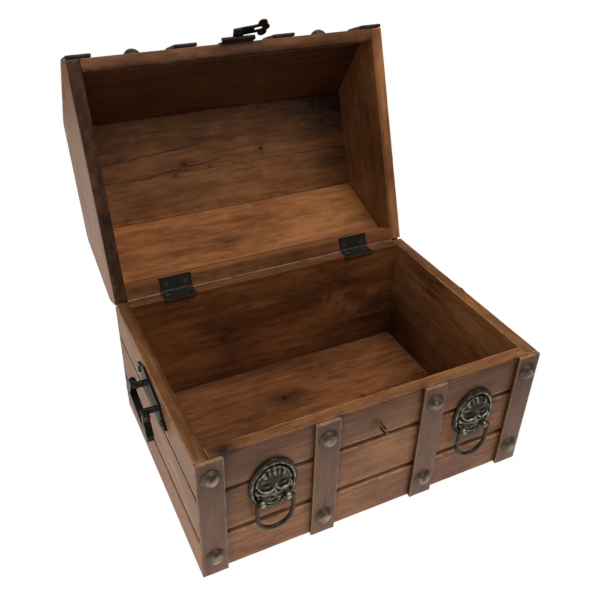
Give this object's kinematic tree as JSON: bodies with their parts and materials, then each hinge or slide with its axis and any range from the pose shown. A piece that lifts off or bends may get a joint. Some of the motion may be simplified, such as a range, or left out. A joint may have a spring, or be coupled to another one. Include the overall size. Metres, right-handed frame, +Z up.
{
  "type": "wooden chest",
  "caption": "Small dome-lidded wooden chest with strap bands, domed nails, lion-mask ring pulls, side bail handles and a hinged hasp.",
  "frame": {"origin": "centre of the flat underside, on the surface that the chest stands on", "axes": "+X to the right seen from the front, +Y to the back where the hinges are, +Z up"},
  "size_m": [0.3282, 0.3619, 0.337],
  "materials": {
    "case_wood": "satin stained hardwood with open grain",
    "lid_wood": "satin stained hardwood with open grain",
    "strap_wood": "satin dark stained hardwood strip",
    "nail_heads": "antiqued, worn bright on the crown",
    "screws_and_pins": "darkened steel",
    "hinge_leaves": "darkened steel, rubbed bright on the knuckles",
    "hasp_iron": "blackened iron",
    "staple_wire": "rubbed bright wire",
    "lion_castings": "antiqued casting with bright high spots",
    "pull_rings": "antiqued wire",
    "handle_castings": "antiqued casting"
  },
  "bodies": {
    "case": {"back_board": "case_wood", "back_strap_left": "strap_wood", "back_strap_left_corner": "strap_wood", "back_strap_nails": "nail_heads", "back_strap_right": "strap_wood", "back_strap_right_corner": "strap_wood", "case_hinge_screws": "screws_and_pins", "floor_board": "case_wood", "front_board": "case_wood", "front_strap_left": "strap_wood", "front_strap_left_corner": "strap_wood", "front_strap_nails": "nail_heads", "front_strap_right": "strap_wood", "front_strap_right_corner": "strap_wood", "left_handle_pins": "screws_and_pins", "left_handle_plate": "handle_castings", "left_handle_screws": "screws_and_pins", "left_hinge_case_leaf": "hinge_leaves", "left_hinge_pin": "screws_and_pins", "left_lion_plate": "lion_castings", "left_side_board": "case_wood", "lion_plate_nails": "nail_heads", "lock_staple": "staple_wire", "right_handle_pins": "screws_and_pins", "right_handle_plate": "handle_castings", "right_handle_screws": "screws_and_pins", "right_hinge_case_leaf": "hinge_leaves", "right_hinge_pin": "screws_and_pins", "right_lion_plate": "lion_castings", "right_side_board": "case_wood"},
    "lid": {"hasp_pin": "screws_and_pins", "hasp_plate": "hasp_iron", "hasp_screws": "screws_and_pins", "left_hinge_lid_leaf": "hinge_leaves", "lid_back_rail": "lid_wood", "lid_back_slope": "lid_wood", "lid_bay_nails": "nail_heads", "lid_front_rail": "lid_wood", "lid_front_slope": "lid_wood", "lid_hinge_screws": "screws_and_pins", "lid_left_end": "lid_wood", "lid_right_end": "lid_wood", "lid_strap_left": "strap_wood", "lid_strap_left_corner": "strap_wood", "lid_strap_nails": "nail_heads", "lid_strap_right": "strap_wood", "lid_strap_right_corner": "strap_wood", "lid_top_front_board": "lid_wood", "lid_top_rear_board": "lid_wood", "right_hinge_lid_leaf": "hinge_leaves"},
    "hasp_link": {"hasp_link": "hasp_iron", "hasp_rivet": "screws_and_pins"},
    "hasp": {"hasp_leaf": "hasp_iron"},
    "left_ring": {"left_pull_ring": "pull_rings"},
    "right_ring": {"right_pull_ring": "pull_rings"},
    "left_bail": {"left_bail_handle": "handle_castings"},
    "right_bail": {"right_bail_handle": "handle_castings"}
  },
  "joints": [
    {"name": "lid_hinge", "type": "hinge", "parent": "case", "child": "lid", "pos_m": [0, 0.1042, 0.12135], "axis": [1, 0, 0], "range_deg": [0, 110]},
    {"name": "hasp_hinge", "type": "hinge", "parent": "lid", "child": "hasp_link", "pos_m": [0.001, 0.17377, 0.32025], "axis": [-1, 0, 0], "range_deg": [-34, 60]},
    {"name": "hasp_swivel", "type": "hinge", "parent": "hasp_link", "child": "hasp", "pos_m": [0.001, 0.17282, 0.32573], "axis": [0, -0.809, -0.5878], "range_deg": [0, 164]},
    {"name": "left_ring_swing", "type": "hinge", "parent": "case", "child": "left_ring", "pos_m": [-0.091, -0.11, 0.063], "axis": [-1, 0, 0], "range_deg": [0, 95]},
    {"name": "right_ring_swing", "type": "hinge", "parent": "case", "child": "right_ring", "pos_m": [0.091, -0.11, 0.063], "axis": [-1, 0, 0], "range_deg": [0, 95]},
    {"name": "left_handle_swing", "type": "hinge", "parent": "case", "child": "left_bail", "pos_m": [-0.161, -0.0055, 0.1033], "axis": [0, 0.9816, 0.1908], "range_deg": [0, 90]},
    {"name": "right_handle_swing", "type": "hinge", "parent": "case", "child": "right_bail", "pos_m": [0.161, -0.0055, 0.1033], "axis": [0, -0.9816, -0.1908], "range_deg": [0, 90]}
  ]
}
